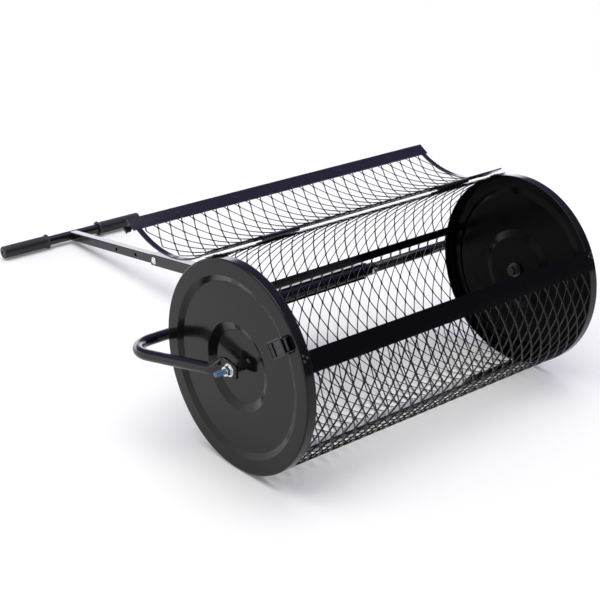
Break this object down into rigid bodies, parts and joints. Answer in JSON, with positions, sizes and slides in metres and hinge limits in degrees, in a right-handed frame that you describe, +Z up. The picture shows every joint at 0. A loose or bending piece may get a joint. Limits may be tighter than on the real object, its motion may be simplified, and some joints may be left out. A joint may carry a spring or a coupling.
{
  "type": "compost spreader roller",
  "caption": "Mesh drum between pressed end discs with a hinged latching door, turning in a tubular yoke on a telescoping pole with a T handle.",
  "frame": {"origin": "on the ground, below the middle of the whole object's box", "axes": "+X along the axle, +Y from the drum to the handlebar, +Z up"},
  "size_m": [0.839, 1.2742, 0.3738],
  "materials": {
    "disc_paint": "gloss black powder coat on pressed steel",
    "bar_paint": "gloss black paint on flat bar and small fittings",
    "tube_paint": "gloss black powder coat on tube",
    "mesh_paint": "black paint on expanded metal",
    "zinc": "bright zinc plate",
    "blue_zinc": "blue passivated zinc plate",
    "rubber": "matt black rubber"
  },
  "bodies": {
    "frame": {"yoke_tube_left": "tube_paint", "yoke_tube_right": "tube_paint", "yoke_sleeve": "tube_paint", "yoke_bolts": "zinc", "yoke_nuts": "zinc", "gusset_top": "tube_paint", "gusset_bottom": "tube_paint", "outer_pole": "tube_paint", "pole_lock_bolt": "zinc", "axle_bolts": "blue_zinc", "axle_washers": "zinc", "axle_nuts": "zinc"},
    "handle": {"inner_pole": "tube_paint", "handlebar": "tube_paint", "grip_left": "rubber", "grip_right": "rubber"},
    "drum": {"end_disc_left": "disc_paint", "end_disc_right": "disc_paint", "hub_bushes": "zinc", "basket_mesh": "mesh_paint", "hinge_bar": "bar_paint", "front_bar": "bar_paint", "back_bar": "bar_paint", "bottom_bar": "bar_paint", "bar_rivets": "bar_paint", "drum_hinge_leaves": "bar_paint", "hinge_pins": "bar_paint", "latch_bases": "bar_paint", "latch_pins": "bar_paint"},
    "door": {"door_mesh": "mesh_paint", "door_strip": "bar_paint", "door_hinge_bar": "bar_paint", "door_side_left": "bar_paint", "door_side_right": "bar_paint", "door_hinge_leaves": "bar_paint", "door_catches": "bar_paint", "door_rivets": "bar_paint"},
    "latch_lever_left": {"latch_lever_left": "bar_paint"},
    "latch_lever_right": {"latch_lever_right": "bar_paint"},
    "latch_loop_left": {"latch_loop_left": "bar_paint"},
    "latch_loop_right": {"latch_loop_right": "bar_paint"}
  },
  "joints": [
    {"name": "drum_spin", "type": "hinge", "parent": "frame", "child": "drum", "pos_m": [0, -0.45215, 0.185], "axis": [1, 0, 0], "continuous": true},
    {"name": "door_hinge", "type": "hinge", "parent": "drum", "child": "door", "pos_m": [0, -0.3954, 0.36947], "axis": [1, 0, 0], "range_deg": [0, 204.5]},
    {"name": "pole_slide", "type": "slide", "parent": "frame", "child": "handle", "axis": [0, 0.9906, -0.1366], "range_m": [-0.154, 0.077]},
    {"name": "latch_left", "type": "hinge", "parent": "drum", "child": "latch_lever_left", "pos_m": [-0.356, -0.59291, 0.2821], "axis": [0, -0.5678, -0.8231], "range_deg": [-135, 0]},
    {"name": "loop_left", "type": "hinge", "parent": "latch_lever_left", "child": "latch_loop_left", "pos_m": [-0.3592, -0.58632, 0.27756], "axis": [0, 0.5678, 0.8231], "range_deg": [0, 180]},
    {"name": "latch_right", "type": "hinge", "parent": "drum", "child": "latch_lever_right", "pos_m": [0.356, -0.59291, 0.2821], "axis": [0, 0.5678, 0.8231], "range_deg": [-135, 0]},
    {"name": "loop_right", "type": "hinge", "parent": "latch_lever_right", "child": "latch_loop_right", "pos_m": [0.3592, -0.58632, 0.27756], "axis": [0, -0.5678, -0.8231], "range_deg": [0, 180]}
  ]
}
